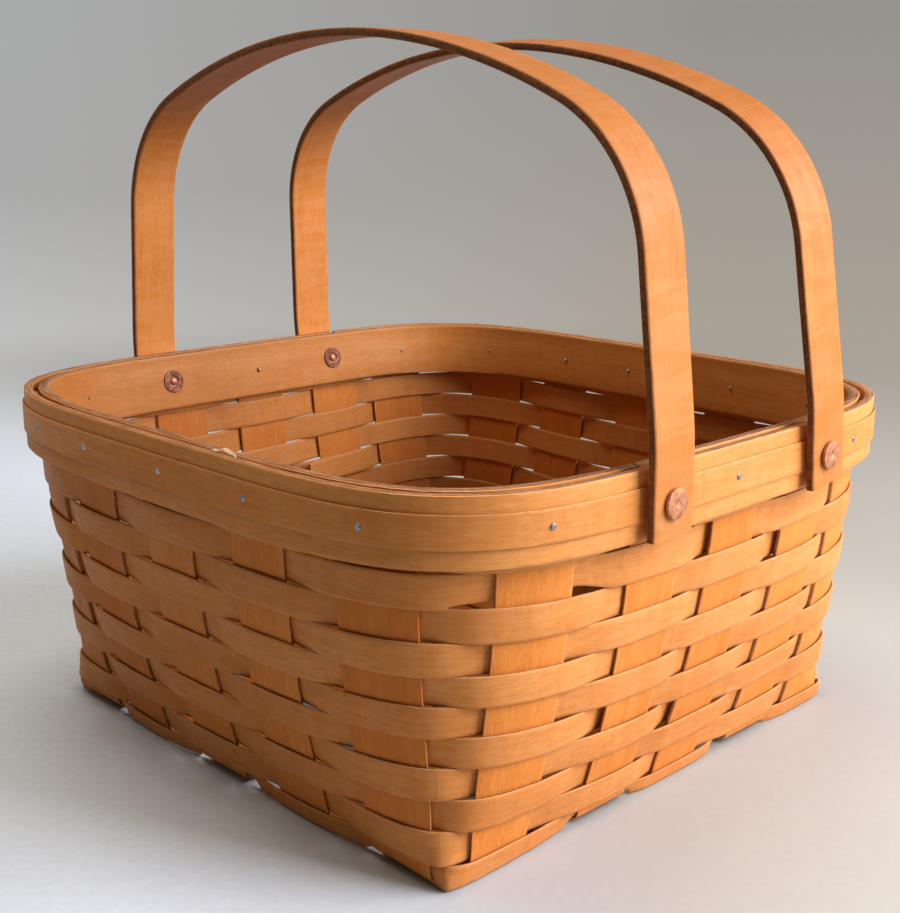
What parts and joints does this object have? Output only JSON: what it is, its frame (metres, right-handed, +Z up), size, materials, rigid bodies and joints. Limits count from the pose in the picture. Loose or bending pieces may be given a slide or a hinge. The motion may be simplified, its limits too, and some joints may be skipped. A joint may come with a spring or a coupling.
{
  "type": "cake basket",
  "caption": "Square woven wood-splint cake basket with flared walls, a nailed double rim and two riveted bentwood swing handles that fold down to either side.",
  "frame": {"origin": "centre of the basket's footprint, on the plane that it stands on", "axes": "+Z up; the front and back walls, which carry the handles, face -Y and +Y; the handles swing towards -X and +X"},
  "size_m": [0.3108, 0.3192, 0.2941],
  "materials": {
    "upright_splint": "honey-orange stained maple splint, satin, grain along the splint",
    "weaver_splint": "tan-pink stained maple splint, satin, grain along the splint",
    "rim_band": "stained maple band, satin, rough pale sawn edges",
    "handle_strip": "stained bentwood strip, satin, rough darker sawn edges",
    "copper": "dull reddish copper, lightly tarnished",
    "steel_brad": "grey steel nail, dull"
  },
  "bodies": {
    "basket": {"upright_front_back_1": "upright_splint", "upright_front_back_2": "upright_splint", "upright_front_back_3": "upright_splint", "upright_front_back_4": "upright_splint", "upright_front_back_5": "upright_splint", "upright_left_right_1": "upright_splint", "upright_left_right_2": "upright_splint", "upright_left_right_3": "upright_splint", "upright_left_right_4": "upright_splint", "upright_left_right_5": "upright_splint", "weaver_01": "weaver_splint", "weaver_02": "weaver_splint", "weaver_03": "weaver_splint", "weaver_04": "weaver_splint", "weaver_05": "weaver_splint", "weaver_06": "weaver_splint", "weaver_07": "weaver_splint", "weaver_08": "weaver_splint", "weaver_09": "weaver_splint", "weaver_10": "weaver_splint", "weaver_11": "weaver_splint", "outer_band": "rim_band", "trim_strip": "rim_band", "inner_band": "rim_band", "rivet_left_front": "copper", "washer_left_front": "copper", "rivet_left_back": "copper", "washer_left_back": "copper", "rivet_right_front": "copper", "washer_right_front": "copper", "rivet_right_back": "copper", "washer_right_back": "copper", "brad_front_1": "steel_brad", "brad_front_3": "steel_brad", "brad_front_5": "steel_brad", "brad_right_1": "steel_brad", "brad_right_2": "steel_brad", "brad_right_3": "steel_brad", "brad_right_4": "steel_brad", "brad_right_5": "steel_brad", "brad_back_1": "steel_brad", "brad_back_3": "steel_brad", "brad_back_5": "steel_brad", "brad_left_1": "steel_brad", "brad_left_2": "steel_brad", "brad_left_3": "steel_brad", "brad_left_4": "steel_brad", "brad_left_5": "steel_brad"},
    "left_handle": {"handle_left": "handle_strip"},
    "right_handle": {"handle_right": "handle_strip"}
  },
  "joints": [
    {"name": "left_handle_swing", "type": "hinge", "parent": "basket", "child": "left_handle", "pos_m": [-0.04937, 0, 0.1335], "axis": [0, 1, 0], "range_deg": [-135, 14.5]},
    {"name": "right_handle_swing", "type": "hinge", "parent": "basket", "child": "right_handle", "pos_m": [0.05239, 0, 0.1335], "axis": [0, 1, 0], "range_deg": [-7, 145]}
  ]
}
